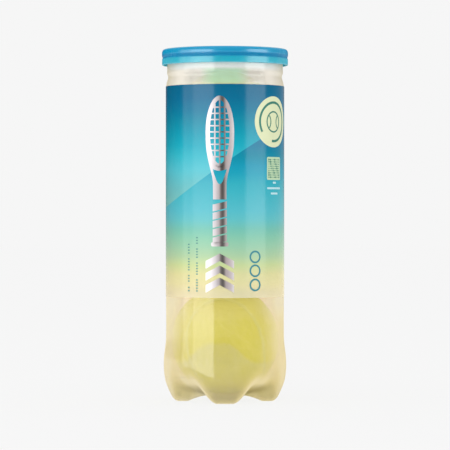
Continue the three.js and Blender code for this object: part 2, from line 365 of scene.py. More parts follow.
# ------------------------------------------------------------------ materials
def pet_material():
    """PET that is nearly clear on the straight wall and milky edge on, in neck and base.
    The ranges on z are heights in metres."""
    m = new_graph("pet_clear")
    x, y, z = m.axes
    surface = m.node("NewGeometry")
    outside = 1.0 - Value(m, surface.outputs["Backfacing"])
    looked_at = outside * m.ray("Is Camera Ray")

    # in the neck only the turn round the can counts, so the small beads stay quiet
    view_x, view_y, _ = m.separate(Value(m, surface.outputs["Incoming"]))
    view_length = m.math("SQRT", view_x * view_x + view_y * view_y)
    along = x * view_x + y * view_y
    turned = 1.0 - abs(along) / m.math("MAXIMUM", m.radius * view_length, 0.0001)
    calm = z.smooth(over=((LABEL_TOP - 1) * MM, (LABEL_TOP + 2) * MM))
    edge = m.facing * (1.0 - calm) + turned * calm
    cloud = m.noise(scale=55, stretch_z=0.35) - 0.5

    # zones along the can; the base starts higher on each foot than between two feet
    neck = z.smooth(over=((LABEL_TOP - 4) * MM, (LABEL_TOP + 2) * MM))
    lobe = m.math("COSINE", m.angle * float(FEET))
    lean = m.math("COSINE", (m.angle + 0.13) * float(FEET))
    arch = lean.smooth(over=(-1, 1)).scaled(by=0.012, plus=0.0255)
    base = (arch - z).smooth(over=(-0.0016, 0.0020))
    deep = z.smooth(over=(0.021, 0.004))
    # painted shade: low in the valleys between the feet the milk gets a darker colour and a
    # larger share
    valley = lobe.smooth(over=(-0.10, -0.90)) * z.smooth(over=(0.0130, 0.0065))
    crown = z.smooth(over=(0.2024, 0.2056))
    skirt = edge.smooth(over=(0.08, 0.32)) * z.smooth(over=(0.040, 0.022))
    under_label = z.smooth(over=(0.046, 0.062)) * (1.0 - neck)

    # how much the wall hides what is behind it: the share of each zone
    side = m.add_shares(edge.smooth(over=(0.11, 0.62)).scaled(by=0.80, plus=0.08),
                        (neck, 0.62), (crown, 0.26), (skirt, 0.14), (under_label, 0.22),
                        (cloud, 0.05))
    # the valley share is painted shade: more of the dark olive milk there
    low = m.add_shares(base * 0.26, (deep, 0.58), (valley, 0.40), (cloud * base, 0.12))

    # cream milk in the wall, with its own tones at the edges of the neck and above it, a painted
    # mint light in the middle of the neck, painted yellow light from the lower ball and painted
    # shade in the valleys
    neck_edge = m.mix(edge.linear(over=(0.40, 0.78)), (255, 247, 233), (232, 222, 198))
    crown_edge = m.mix(edge.linear(over=(0.40, 0.78)), (255, 255, 250), (232, 224, 202))
    # painted light: the mint in the middle of the neck stands in for the top ball seen under the
    # cap's cyan light, and stays when the ball is gone
    neck_milk_and_painted_light = m.mix(edge.linear(over=(0.02, 0.10)), (214, 252, 214), neck_edge)
    neck_milk_and_painted_light = m.mix(z.linear(over=(0.2030, 0.2050)), neck_milk_and_painted_light, crown_edge)
    wall_tone = m.mix(z.linear(over=(0.062, 0.030)), (255, 240, 210), (253, 236, 200))
    cream = m.layered(
        wall_tone,
        (neck, neck_milk_and_painted_light),
        # painted light: yellow milk in front of the lower ball, for its light scattered in the
        # wall
        (under_label * edge.linear(over=(0.30, 0.10)), (255, 238, 150)),
        (skirt * edge.linear(over=(0.60, 0.30)), (246, 228, 168)),
        (base * 0.20, (246, 226, 190)),
        # painted shade in the valleys
        (valley * 0.74, (160, 140, 86)),
        (z.linear(over=(0.012, 0.003)) * 0.25, (206, 188, 146)))
    # olive milk in the thick base
    olive = m.mix(z.linear(over=(0.026, 0.012)), (204, 198, 186), (214, 198, 138))
    olive = m.layered(olive,
                      (z.linear(over=(0.014, 0.002)), (176, 165, 120)),
                      # painted shade in the valleys
                      (valley * 0.95, (128, 112, 62)))

    # the milk is shaded as a plain cylinder in the neck
    outward = m.normalize(m.value("CombineXYZ", {0: x, 1: y}))
    normal = Value(m, surface.outputs["Normal"])
    leaned = m.value("Mix", {"Factor": calm * 0.85, 4: normal, 5: outward}, 1,
                     data_type="VECTOR")
    milk_normal = m.normalize(leaned)

    def milk(colour):
        return m.mix_shader(neck.scaled(by=-0.27, plus=0.35),
                            m.bsdf("Diffuse", Color=colour, Normal=milk_normal),
                            m.bsdf("Translucent", Color=colour, Normal=milk_normal))

    # the faint green of the clear wall in the neck is part of the same painted light
    clear = m.bsdf("Transparent", Color=m.mix(neck, (253, 239, 230), (244, 255, 242)))
    unseen = m.bsdf("Transparent", Color=(0.99, 0.99, 0.985, 1))
    flow = m.noise(scale=30, detail=2, roughness=0.4, stretch_z=0.12)
    fine_gloss = m.noise(scale=160).between(0.06, 0.13)
    gloss = m.bsdf("Glossy",
                   Roughness=z.linear(over=(0.0165, 0.0145)).scaled(by=0.30, plus=fine_gloss),
                   Normal=m.bump(flow, strength=0.2, distance=0.0004))

    # the first wall shines most, and the right-hand side of the base hardly at all
    fresnel = m.value("Fresnel", {"IOR": 1.5})
    strongest = 0.15
    first_wall = m.math("LESS_THAN", m.ray("Transparent Depth"), 0.5)
    shine = m.math("MINIMUM", fresnel * 1.45, strongest) * first_wall.scaled(by=0.8, plus=0.2)
    dull = x.linear(over=(0.004, 0.012)) * z.linear(over=(0.060, 0.050))
    shine = shine * dull.scaled(by=-0.95, plus=1.0)

    # the milk is a fine scatter of specks: each point of the wall is clear or milky
    specks = m.value("VectorMath", {0: m.position, "Scale": 4000.0}, operation="SCALE")
    dice = m.separate(m.value("TexWhiteNoise", {"Vector": specks}, "Color"))
    body = m.mix_shader(m.math("LESS_THAN", dice[0], low), clear, milk(olive))
    body = m.mix_shader(m.math("LESS_THAN", dice[1], side), body, milk(cream))
    body = m.mix_shader(shine, body, gloss)
    return m.surface(m.mix_shader(looked_at, unseen, body))


# label colours above and below the fold line: height, red, green, blue
UPPER_COLOURS = [
    (194.5, 0, 100, 138), (186, 0, 108, 147), (179, 0, 121, 156), (172, 3, 139, 166),
    (165, 2, 155, 179), (157, 22, 172, 192), (150, 54, 186, 202), (143, 82, 195, 208),
    (130, 112, 192, 194), (110, 140, 200, 180), (64, 240, 230, 190)]
LOWER_COLOURS = [
    (194.5, 0, 104, 150), (170, 0, 112, 154), (158, 0, 120, 158), (150.5, 0, 138, 165),
    (145, 8, 152, 182), (139.5, 28, 163, 188), (134, 52, 176, 193), (128.5, 64, 182, 197),
    (117.5, 88, 191, 203), (112, 102, 195, 198), (106.5, 122, 197, 178),
    (101, 143, 204, 171), (95.5, 163, 208, 169), (90, 184, 212, 162), (84.6, 212, 222, 152),
    (79, 236, 228, 164), (73, 246, 236, 182), (68, 246, 236, 202), (64.8, 249, 238, 208)]


def label_material():
    """Blue film that fades to cream at the bottom, split by a slanting fold line."""
    m = new_graph("label_film")
    z, angle = m.axes[2], m.angle
    up_label = z.linear(over=(LABEL_BOTTOM * MM, LABEL_TOP * MM))

    def gradient(table):
        stops = [(max(0.0, min(1.0, (height - LABEL_BOTTOM) / (LABEL_TOP - LABEL_BOTTOM))), rgb)
                 for height, *rgb in table]
        return m.ramp(up_label, sorted(stops, key=lambda stop: stop[0]))

    upper, lower = gradient(UPPER_COLOURS), gradient(LOWER_COLOURS)
    # the fold line climbs to the right across the front and comes down round the back
    wave = m.math("SINE", angle)
    line = wave.scaled(by=0.0254, plus=0.1468)
    line = (wave * wave).scaled(by=-0.0018, plus=line)
    fold = (z - line).linear(over=(-0.0002, 0.0002))
    # painted shade: the print darkens towards the left side, fading out before the back
    left = angle.smooth(over=(-0.70, -1.20)) * angle.smooth(over=(-2.9, -1.9))
    glow = m.noise(scale=14, detail=2, roughness=0.4, stretch_z=0.2)
    glow = glow.linear(over=(0.40, 0.70)) * z.linear(over=(0.195, 0.150), to=(0.04, 0.14))
    ink = m.noise(scale=900, detail=2).linear(over=(0.45, 0.75))
    lap = abs(angle - 2.55).linear(over=(0.004, 0.0008))
    colour = m.layered(m.mix(fold, lower, upper),
                       # painted shade on the left side
                       (left * 0.15, (0, 76, 96)),
                       (glow, (0, 176, 198)),
                       (ink * 0.012, (60, 200, 215)),
                       (lap * 0.35, (240, 245, 245)))
    wrinkle = m.noise(scale=26, stretch_z=0.2)
    printed = m.bsdf("Principled", Base_Color=colour,
                     Roughness=m.noise(scale=240).between(0.15, 0.20),
                     Normal=m.bump(wrinkle * 0.8 + lap * 0.5, strength=0.10, distance=0.0004),
                     Specular_IOR_Level=0.29)
    # the film thins out towards its bottom edge, and passes part of the light on it
    thin = m.bsdf("Transparent", Color=(255, 250, 232))
    film = m.mix_shader(z.smooth(over=(0.0885, 0.0665), to=(0.0, 0.48)), printed, thin)
    passed = m.bsdf("Transparent", Color=m.mix(0.85, colour, (255, 252, 242)))
    passing = (1.0 - m.ray("Is Camera Ray")) * z.linear(over=(0.130, 0.066), to=(0.80, 0.93))
    return m.surface(m.mix_shader(passing, film, passed))


def foil_material():
    """Bright foil print with a painted reflection: a light on each side and a dark band between
    them.
    """
    m = new_graph("foil_print")
    # painted reflection, set by the angle round the can
    colour = m.ramp(m.angle.linear(over=(-0.34, 0.17)), [
        (0.0, (242, 240, 244)), (0.16, (232, 226, 230)), (0.36, (206, 198, 201)),
        (0.47, (176, 166, 168)), (0.53, (96, 86, 82)), (0.58, (60, 51, 47)),
        (0.63, (84, 76, 71)), (0.70, (176, 162, 162)), (0.86, (206, 194, 195)),
        (1.0, (240, 236, 238))])
    grain = m.noise(scale=500, detail=2, stretch_z=0.05)
    return m.surface(m.bsdf("Principled",
                            Base_Color=m.mix(grain * 0.10, colour, (255, 255, 255)),
                            Metallic=0.15, Roughness=grain.between(0.28, 0.4),
                            Normal=m.bump(grain, strength=0.1, distance=0.0001)))


def ink_material(name, rgb):
    m = new_graph(name)
    speckle = m.noise(scale=700, roughness=0.6)
    return m.surface(m.bsdf("Principled", Base_Color=m.mix(speckle * 0.16, rgb, shifted(rgb, 26)),
                            Roughness=speckle.between(0.37, 0.48),
                            Normal=m.bump(speckle, strength=0.08, distance=0.0001),
                            Specular_IOR_Level=0.35))


# darker rings moulded in the cap's top: radius and half width in metres, strength
CAP_RINGS = ((0.0338, 0.0008, 0.45), (0.0305, 0.0007, 0.30),
             (0.0128, 0.0006, 0.22), (0.0008, 0.0012, 0.30))


def cap_material():
    """Translucent blue polyethylene: deep in the rounded top, with painted shade in the groove,
    paler in the thin skirt where light comes through."""
    m = new_graph("cap_plastic")
    z, facing = m.axes[2], m.facing
    groove_height = (CAP_TOP + CAP_BOTTOM) / 2 - 0.45
    up = z.smooth(over=((groove_height - 1.6) * MM, (groove_height + 0.3) * MM))
    # painted shade: the groove is darkened in the colour
    groove = abs(z - (groove_height + 0.65) * MM).smooth(over=(0.0017, 0.0006))
    cloud = m.noise(scale=45, stretch_z=0.4)
    top = m.mix(cloud, (0, 180, 232), (0, 198, 244))
    skirt = m.mix(cloud, (10, 216, 244), (54, 226, 250))
    # painted light: a lighter hem, for light coming through its thin edge
    hem_light = z.linear(over=((CAP_BOTTOM + 0.9) * MM, (CAP_BOTTOM + 0.1) * MM))
    sunk_middle = m.radius.smooth(over=(0.0340, 0.0330))
    colour = m.layered(m.mix(up, skirt, top),
                       # painted shade in the groove
                       (groove * 0.60, (0, 128, 188)),
                       (hem_light * 0.45, (150, 220, 226)),
                       (sunk_middle * 0.22, (60, 200, 226)))
    for radius, half_width, strength in CAP_RINGS:
        ring = abs(m.radius - radius).smooth(over=(half_width, half_width * 0.3))
        colour = m.mix(ring * strength, colour, (0, 132, 186))
    # painted light where seen aslant, painted shade at the very edge, a painted highlight on the
    # brim
    aslant_light = facing.linear(over=(0.22, 0.70)) * up.linear(over=(0, 1), to=(0.24, 0.02))
    outline = facing.linear(over=(0.66, 0.92)) * up.linear(over=(0, 1), to=(0.10, 0.45))
    brim_highlight = z.smooth(over=((CAP_TOP - 1.0) * MM, (CAP_TOP - 0.2) * MM))
    brim_highlight = brim_highlight * facing.linear(over=(0.30, 0.80))
    colour = m.layered(colour, (aslant_light, (150, 226, 255)), (outline, (0, 132, 190)),
                       (brim_highlight * 0.75, (170, 236, 255)))
    fine = m.noise(scale=1400, detail=2)
    coat = facing.linear(over=(0.50, 0.80), to=(1.0, 0.12)) * groove.scaled(by=-0.9, plus=1.0)
    plastic = m.bsdf("Principled", Base_Color=colour,
                     Roughness=m.noise(scale=120).between(0.22, 0.32),
                     Normal=m.bump(fine, strength=0.05, distance=0.0001),
                     Specular_IOR_Level=facing.linear(over=(0.50, 0.80), to=(0.2, 0.03)),
                     Coat_Weight=coat, Coat_Roughness=0.20, Coat_IOR=1.9)
    glowing = m.bsdf("Translucent", Color=m.mix(up, (86, 208, 224), (0, 142, 196)))
    clear = m.bsdf("Transparent", Color=m.mix(up, (140, 222, 232), (40, 168, 210)))
    translucency = 0.30
    solid = m.mix_shader(translucency, plastic, glowing)
    # light that doesn't go to the camera passes at least half
    face_on = 1.0 - m.math("POWER", facing, 0.8)
    clearness = m.math("MAXIMUM", face_on * up.linear(over=(0, 1), to=(0.30, 0.10)),
                       (1.0 - m.ray("Is Camera Ray")) * 0.5)
    return m.surface(m.mix_shader(clearness, solid, clear))


def aluminium_material(name, rgb, roughness, turned):
    """Aluminium with fine lines: round the axis if turned, else along y."""
    m = new_graph(name)
    x, y, z = m.axes
    line_space = {0: m.radius, 1: m.angle * 0.0004} if turned else {0: x, 1: y * 0.05}
    lines = m.noise(scale=2600, detail=2, roughness=0.6,
                    at=m.value("CombineXYZ", {**line_space, 2: z}))
    smear = m.noise(scale=90, detail=4, roughness=0.6)
    return m.surface(m.bsdf("Principled", Base_Color=m.mix(smear, shifted(rgb, -22), rgb),
                            Metallic=1.0,
                            Roughness=(lines * 0.5 + smear * 0.5).between(roughness - 0.07,
                                                                          roughness + 0.1),
                            Normal=m.bump(lines, strength=0.12, distance=0.0001)))


def felt_material():
    m = new_graph("felt_yellow")
    fibre = m.noise(scale=620, detail=6, roughness=0.72)
    tuft = m.noise(scale=150, detail=4, roughness=0.6)
    worn = m.noise(scale=34)
    colour = m.layered(m.mix(tuft, (214, 213, 84), (224, 223, 100)),
                       (fibre.linear(over=(0.48, 0.72)) * 0.35, (238, 240, 148)),
                       (fibre.linear(over=(0.48, 0.28)) * 0.30, (186, 190, 52)),
                       (worn * 0.12, (222, 224, 128)))
    return m.surface(m.bsdf("Principled", Base_Color=colour, Roughness=0.95,
                            Normal=m.bump(fibre * 0.6 + tuft * 0.6, strength=0.7,
                                          distance=0.0006),
                            Specular_IOR_Level=0.05, Sheen_Weight=0.35,
                            Sheen_Roughness=0.5, Sheen_Tint=(245, 240, 170)))


def rubber_material(name, rgb, roughness):
    m = new_graph(name)
    grain = m.noise(scale=420, detail=4, roughness=0.6)
    return m.surface(m.bsdf("Principled",
                            Base_Color=m.mix(m.noise(scale=60), rgb, shifted(rgb, 18)),
                            Roughness=grain.between(roughness - 0.08, roughness + 0.1),
                            Normal=m.bump(grain, strength=0.3, distance=0.0002)))


PET, LABEL, FOIL, CAP = pet_material(), label_material(), foil_material(), cap_material()
ALUMINIUM = aluminium_material("aluminium_end", (214, 216, 219), roughness=0.27, turned=True)
TAB_METAL = aluminium_material("aluminium_tab", (226, 227, 229), roughness=0.22, turned=False)
FELT = felt_material()
SEAM = rubber_material("seam_cement", (210, 212, 112), roughness=0.85)
CORE = rubber_material("core_rubber", (52, 50, 48), roughness=0.75)
COMPOUND = rubber_material("seam_compound", (128, 130, 132), roughness=0.8)
CREAM = ink_material("ink_cream", (224, 230, 186))
MINT = ink_material("ink_mint", (190, 218, 178))
GREEN = ink_material("ink_green", (42, 124, 106))
TEAL = ink_material("ink_teal", (44, 134, 146))
PALE = ink_material("ink_pale", (186, 226, 234))
GREY = ink_material("ink_greytext", (84, 146, 138))

# ------------------------------------------------------------------ canister
# outer lines of the can as (radius, height): base through a foot, base through a valley
# between two feet, and the wall and neck they share
FOOT_LINE = [
    (0, 3.0), (1.0, 3.02), (1.5, 3.35), (2.4, 3.6), (8, 3.5), (14, 3.0), (19.5, 1.5),
    (23.4, 0.02), (26.0, 0.0), (28.4, 0.02), (30.4, 0.4), (31.7, 1.45), (32.9, 2.95),
    (34.1, 5.4), (35.4, 8.3), (36.8, 12.2), (37.8, 18.5), (37.8, 26.8)]
VALLEY_LINE = [
    (0, 3.0), (1.0, 3.02), (1.5, 3.35), (2.4, 3.62), (8, 4.0), (14, 4.9), (19.5, 6.5),
    (23.6, 8.4), (25.5, 9.4), (27.2, 10.4), (29.1, 11.4), (30.9, 12.5), (32.5, 13.8),
    (34.1, 15.3), (35.6, 17.3), (36.8, 19.9), (37.6, 23.2), (37.7, 27.2)]
WALL_LINE = [
    (37.3, 31.6), (36.75, 36.0), (36.5, 42.0), (36.5, 60.0), (36.5, 90.0), (36.5, 130.0),
    (36.5, 170.0), (36.5, 190.0), (36.5, 194.9), (36.1, 197.0), (35.4, 199.2),
    (35.2, 200.1), (35.3, 200.9), (35.6, 201.7), (35.85, 202.5), (35.9, 203.2),
    (35.85, 204.2), (35.8, 208.0), (35.8, 214.6)]
# steps between neighbouring points of a base line with the wall line
LINE_STEPS = [1, 2, 1, 2, 3, 3, 4, 2, 2, 3, 3, 3, 3, 3, 3, 4, 4, 3,
              3, 3, 2, 1, 1, 1, 1, 1, 1, 3, 3, 2, 2, 2, 2, 2, 2, 1]
LIP = [
    (35.85, 214.95), (36.0, 215.15), (36.28, 215.1), (36.3, 214.8), (36.3, 213.95),
    (36.75, 213.95), (36.75, 215.4), (36.45, 215.7), (35.65, 215.7), (35.3, 215.35)]
CAN_WALL = 0.5
CAN_SEGMENTS = 300
DRAWN_CAN_TOP = 215.7  # the lines are stretched from this height to the can's own
# a foot is full up to the first angle from its middle and gone from the second on
FOOT_FULL, FOOT_END = math.radians(9.0), math.radians(39.5)


def smooth_line(points, steps):
    """A smooth line through the points, with steps[i] steps in span i."""
    spans = np.diff(points, axis=0)
    weights = (np.linalg.norm(spans, axis=1) ** 0.5 + 1e-9) ** 2
    last = len(spans) - 1
    line = []
    for i, span in enumerate(spans):
        slopes = [(spans[k] / weights[k] * weights[i] + span) / 2 if 0 <= k <= last else span
                  for k in (i - 1, i + 1)]
        for k in range(steps[i]):
            t = k / steps[i]
            line.append((2 * t**3 - 3 * t**2 + 1) * points[i]
                        + (t**3 - 2 * t**2 + t) * slopes[0]
                        + (-2 * t**3 + 3 * t**2) * points[i + 1]
                        + (t**3 - t**2) * slopes[1])
    line.append(points[-1])
    return np.array(line)


def inner_line(line, wall):
    """The inner side of a wall; its first point stays on the axis."""
    along = np.gradient(line, axis=0)
    along = along / np.linalg.norm(along, axis=1)[:, None]
    inner = line + np.stack([-along[:, 1], along[:, 0]], 1) * wall
    inner[0] = line[0] + [0, wall]
    return inner


def can_profile(base_line):
    outer = smooth_line(np.array(base_line + WALL_LINE, float), LINE_STEPS)
    return np.vstack([outer, np.array(LIP), inner_line(outer, CAN_WALL)[::-1]])


def foot_share(angle):
    """1 on a foot, 0 in a valley."""
    off = abs(((angle + FOOT_TURN) % (2 * FOOT_TURN)) - FOOT_TURN)
    t = min(1, max(0, (off - FOOT_FULL) / (FOOT_END - FOOT_FULL)))
    return 1 - t * t * (3 - 2 * t)


def add_canister():
    stretch = CAN_TOP / DRAWN_CAN_TOP
    shares = [(angle, foot_share(angle)) for angle in turns(CAN_SEGMENTS)]
    rows = []
    for foot, valley in zip(can_profile(FOOT_LINE), can_profile(VALLEY_LINE)):
        if foot[0] < 1e-6:
            rows.append([(0, 0, foot[1] * MM)])
            continue
        row = []
        for angle, share in shares:
            radius, height = valley + (foot - valley) * share
            row.append(on_circle(radius, angle, max(0, height) * stretch))
        rows.append(row)
    vertices, rings = stack_rings(rows, CAN_SEGMENTS)
    can = mesh_object("pet_canister", vertices, band_faces(rings), sharp_angle=50)
    finish_piece(can, "can", "pet_clear", PET, "can_body")


add_canister()


# ------------------------------------------------------------------ label
def add_label():
    outer, inner = LABEL_RADIUS, LABEL_RADIUS - LABEL_THICKNESS
    profile = [(inner, LABEL_BOTTOM), (outer, LABEL_BOTTOM)]
    profile += [(outer, height) for height in (72.0, 100.0, 130.0, 160.0, 190.0)]
    profile += [(outer, LABEL_TOP), (inner, LABEL_TOP), (inner, 130.0)]
    label = lathe("wrap_label", profile, segments=256, sharp_angle=30)
    finish_piece(label, "can", "label_film", LABEL, "label_sleeve")


def add_print(name, shapes, material, layer=PRINT):
    """Wraps flat artwork onto the label as thin raised print. Each shape is an outline
    followed by its holes, in points of (arc length, height)."""
    bm = bmesh.new()
    for loops in shapes:
        loops = [[Vector((u, v, 0)) for u, v in loop] for loop in loops]
        vertices = [bm.verts.new(point) for loop in loops for point in loop]
        for triangle in geometry.tessellate_polygon(loops):
            # guards against a triangle that repeats a corner or another face
            try:
                bm.faces.new([vertices[i] for i in triangle])
            except ValueError:
                pass
    low = min(v.co.x for v in bm.verts)
    high = max(v.co.x for v in bm.verts)
    k = math.floor(low / PRINT_STEP) + 1
    while k * PRINT_STEP < high:
        bmesh.ops.bisect_plane(bm, geom=bm.verts[:] + bm.edges[:] + bm.faces[:],
                               plane_co=(k * PRINT_STEP, 0, 0), plane_no=(1, 0, 0), dist=1e-5)
        k += 1
    for face in bm.faces:
        if face.normal.z < 0:
            face.normal_flip()
    extruded = bmesh.ops.extrude_face_region(bm, geom=bm.faces[:])
    for item in extruded["geom"]:
        if isinstance(item, bmesh.types.BMVert):
            item.co.z = 1.0  # marks the outer side
    for v in bm.verts:
        angle = v.co.x / PRINT_RADIUS
        radius = layer[v.co.z > 0.5] * MM
        v.co = Vector((radius * math.sin(angle), -radius * math.cos(angle), v.co.y * MM))
    bmesh.ops.recalc_face_normals(bm, faces=bm.faces)
    mesh = bpy.data.meshes.new(name)
    bm.to_mesh(mesh)
    bm.free()
    piece = link_object(name, mesh)
    smooth_by_angle(mesh, 40)
    finish_piece(piece, "can", "label_film", material)


def ellipse(cx, cy, rx, ry, count=64, start=0, end=360):
    """Points on an ellipse, or on an arc of it with both ends. Angles in degrees."""
    steps = count if abs(end - start) >= 360 else count - 1
    angles = [math.radians(start + (end - start) * i / steps) for i in range(count)]
    return [(cx + rx * math.cos(a), cy + ry * math.sin(a)) for a in angles]


def circle(cx, cy, radius, count=64):
    return ellipse(cx, cy, radius, radius, count)


def rectangle(x0, y0, x1, y1, corner=0.0, steps=5):
    if corner <= 0:
        return [(x0, y0), (x1, y0), (x1, y1), (x0, y1)]
    points = []
    for cx, cy, start in ((x1 - corner, y0 + corner, -90), (x1 - corner, y1 - corner, 0),
                          (x0 + corner, y1 - corner, 90), (x0 + corner, y0 + corner, 180)):
        points += ellipse(cx, cy, corner, corner, steps + 1, start, start + 90)
    return points


def arc_band(cx, cy, radius, width, start, end, count):
    outer, inner = radius + width / 2, radius - width / 2
    return (ellipse(cx, cy, outer, outer, count, start, end)
            + ellipse(cx, cy, inner, inner, count, end, start))


def add_racket():
    """Foil racket: strung hoop, throat and banded grip, with chevrons under it."""
    middle, hoop_z = -3.2, 165.4
    hoop_rx, hoop_rz, hoop_width = 8.75, 22.0, 2.7
    inner_rx, inner_rz = hoop_rx - hoop_width, hoop_rz - hoop_width
    string = 0.42  # half width

    shapes = [[ellipse(middle, hoop_z, hoop_rx, hoop_rz, 72),
               ellipse(middle, hoop_z, inner_rx, inner_rz, 72)[::-1]]]
    for x in (-3.0, 0.0, 3.0):
        reach = (inner_rz + 0.3) * math.sqrt(1 - (x / inner_rx) ** 2)
        shapes.append([rectangle(middle + x - string, hoop_z - reach,
                                 middle + x + string, hoop_z + reach)])
    arm = round_corners([(8.7, 162.0), (8.45, 155.0), (6.6, 146.0), (4.2, 137.0),
                         (4.1, 131.0), (4.1, 124.5)])
    bow_rx, bow_rz = hoop_rx - hoop_width * 0.6, hoop_rz - hoop_width * 0.6
    bow = [(bow_rx * math.cos(math.radians(q)), hoop_z + bow_rz * math.sin(math.radians(q)))
           for q in range(-22, -159, -8)]
    throat = [(middle - x, z) for x, z in arm] + [(middle + x, z) for x, z in arm[::-1] + bow]
    opening = round_corners([(0, 141.6), (3.7, 142.6), (4.5, 143.2), (3.0, 138.6),
                             (1.5, 134.6), (0, 133.6), (-1.5, 134.6), (-3.0, 138.6),
                             (-4.5, 143.2), (-3.7, 142.6)], closed=True)
    shapes.append([throat, [(middle + x, z) for x, z in opening]])
    add_print("label_racket_hoop", shapes, FOIL)

    strings = []
    for z in np.arange(-15, 15.1, 3.75):
        reach = (inner_rx + 0.1) * math.sqrt(1 - (z / inner_rz) ** 2)
        strings.append([rectangle(middle - reach, hoop_z + z - string,
                                  middle + reach, hoop_z + z + string)])
    add_print("label_racket_strings", strings, FOIL, STRING_PRINT)

    grip_top, band_pitch, band_count, half_grip = 123.4, 5.0, 5, 4.3
    left, right = middle - half_grip, middle + half_grip
    grip = []
    for i in range(band_count):
        z = grip_top - i * band_pitch
        grip.append([[(left, z - 6.2), (right, z - 4.2), (right, z), (left, z - 2.0)]])
    butt = grip_top - band_count * band_pitch
    grip.append([rectangle(left - 1.0, butt - 2.4, right + 1.0, butt + 0.2, 0.9)])
    add_print("label_racket_grip", grip, FOIL)

    half, rise = 8.7, 4.6
    chevrons = [[[(middle - half, z), (middle, z + rise), (middle + half, z),
                  (middle + half, z + rise), (middle, z + 2 * rise), (middle - half, z + rise)]]
                for z in (82.6, 75.3, 68.0)]
    add_print("label_chevrons", chevrons, FOIL)


def add_badge():
    """Cream badge with an open ring round a plain ball."""
    x, z = 34.5, 172.0
    ball = 6.6
    add_print("label_badge", [[circle(x, z, 15.6, 96)]], CREAM)
    add_print("label_badge_ring", [[arc_band(x, z, 11.8, 1.5, 212, -98, 72)]], GREEN, OVERPRINT)
    add_print("label_badge_ball", [[circle(x, z, ball), circle(x, z, ball - 0.9)[::-1]],
                                   [arc_band(x - 8.3, z, 5.6, 0.8, -42, 42, 24)],
                                   [arc_band(x + 8.3, z, 5.6, 0.8, 138, 222, 24)]],
              GREEN, OVERPRINT)


def add_patch():
    """Pale patch with a halftone of dots, and three short bars under it."""
    x, z = 35.5, 143.5
    add_print("label_patch", [[rectangle(x - 7.2, z - 7.0, x + 7.2, z + 7.0, 1.0)]], MINT)
    random = np.random.default_rng(7)
    dots = []
    for i in range(9):
        for j in range(9):
            swell = 0.5 + 0.5 * math.sin(i * 1.7 + j * 0.9)
            radius = 0.30 + 0.38 * swell * (0.4 + 0.6 * random.random())
            dots.append([circle(x + (i - 4) * 1.38, z + (j - 4) * 1.34, radius, 10)])
    add_print("label_patch_dots", dots, GREEN, THIN_OVERPRINT)
    bars = [[rectangle(x - half, bottom, x + half, bottom + 1.2, 0.3)]
            for half, bottom in ((1.6, 134.2), (7.0, 130.8), (3.6, 127.6))]
    add_print("label_small_bars", bars, PALE)


def add_rings():
    """Three rings, one above another, low on the front to the right of the chevrons."""
    x = 19.2
    add_print("label_rings", [[circle(x, z, 3.9, 48), circle(x, z, 2.8, 48)[::-1]]
                              for z in (72.6, 81.2, 89.6)], TEAL)


def add_thin_bars():
    """Two upright columns of short dashes on the left, grouped like words."""
    half = 0.62
    dashes = []
    for x, top, seed in ((-23.6, 98.6, 3), (-17.7, 102.6, 5)):
        random = np.random.default_rng(seed)
        z = 68.6
        while z < top - 2:
            length = min(float(random.uniform(3.5, 9.5)), top - z)
            count = max(2, int(length / 1.5))
            for q in range(count):
                start = z + q * length / count
                dashes.append([rectangle(x - half, start,
                                         x + half, start + length / count * 0.45)])
            z += length + 1.9
    add_print("label_thin_bars", dashes, GREY)


def add_back():
    """Pale panel with lines of bars, on the back of the label."""
    back = PRINT_RADIUS * math.pi
    random = np.random.default_rng(11)
    bars = []
    z = 168.0
    while z > 112:
        end = back - 15 + float(random.uniform(18, 30))
        bars.append([rectangle(back - 15, z - 0.9, end, z, 0.2)])
        z -= 3.1 if int(z) % 5 else 5.6
    add_print("label_back_panel", [[rectangle(back - 18, 106, back + 18, 174, 2.5)]], CREAM)
    add_print("label_back_bars", bars, GREEN, THIN_OVERPRINT)


add_label()
add_racket()
add_badge()
add_patch()
add_rings()
add_thin_bars()
add_back()

# ------------------------------------------------------------------ metal end
# middle of the rim's sheet as (radius, height), drawn for a rim whose top is at 216.2
DRAWN_RIM_TOP = 216.2
RIM_LINE = [
    (34.15, 210.8), (34.3, 210.2), (34.75, 209.98), (35.1, 210.3), (35.13, 211.0),
    (35.13, 215.4), (35.2, 215.9), (35.7, 216.08), (36.5, 216.08), (36.93, 215.9),
    (36.97, 215.3), (36.97, 213.8), (36.85, 213.35), (36.5, 213.25), (36.15, 213.35),
    (36.07, 213.9), (36.07, 214.7)]
# top of the panel as (radius, height), drawn for a panel whose underside is at 210.85
DRAWN_PANEL_BOTTOM = 210.85
PANEL_LINE = [
    (0, 211.6), (20, 211.6), (25, 211.6), (28.6, 211.6), (29.2, 211.45), (29.8, 211.2),
    (30.4, 211.45), (31.0, 211.6), (31.5, 211.6), (32.2, 211.15), (33.0, 211.1),
    (33.9, 211.1)]
PANEL_SHEET = 0.25
PANEL_SEGMENTS = 192
RIVET_X = 24
RIVET_PROFILE = [(0, 211.62), (1.6, 211.62), (1.6, 212.2), (2.7, 212.25), (2.75, 212.5),
                 (2.3, 212.75), (1.2, 212.72), (0, 212.62)]


def add_rim():
    lift = RIM_TOP - DRAWN_RIM_TOP
    line = [(r, z + lift) for r, z in round_corners(RIM_LINE)]
    rim = lathe("rolled_rim", thicken(line, 0.24), segments=256, sharp_angle=60)
    finish_piece(rim, "can", "aluminium_end", ALUMINIUM, "end_ring")


def panel_height(radius):
    """Height of the panel's top, eased from point to point."""
    lift = PANEL_BOTTOM - DRAWN_PANEL_BOTTOM
    for (r0, z0), (r1, z1) in zip(PANEL_LINE[:-1], PANEL_LINE[1:]):
        if r0 <= radius <= r1:
            t = (radius - r0) / (r1 - r0)
            t = t * t * (3 - 2 * t)
            return z0 + (z1 - z0) * t + lift


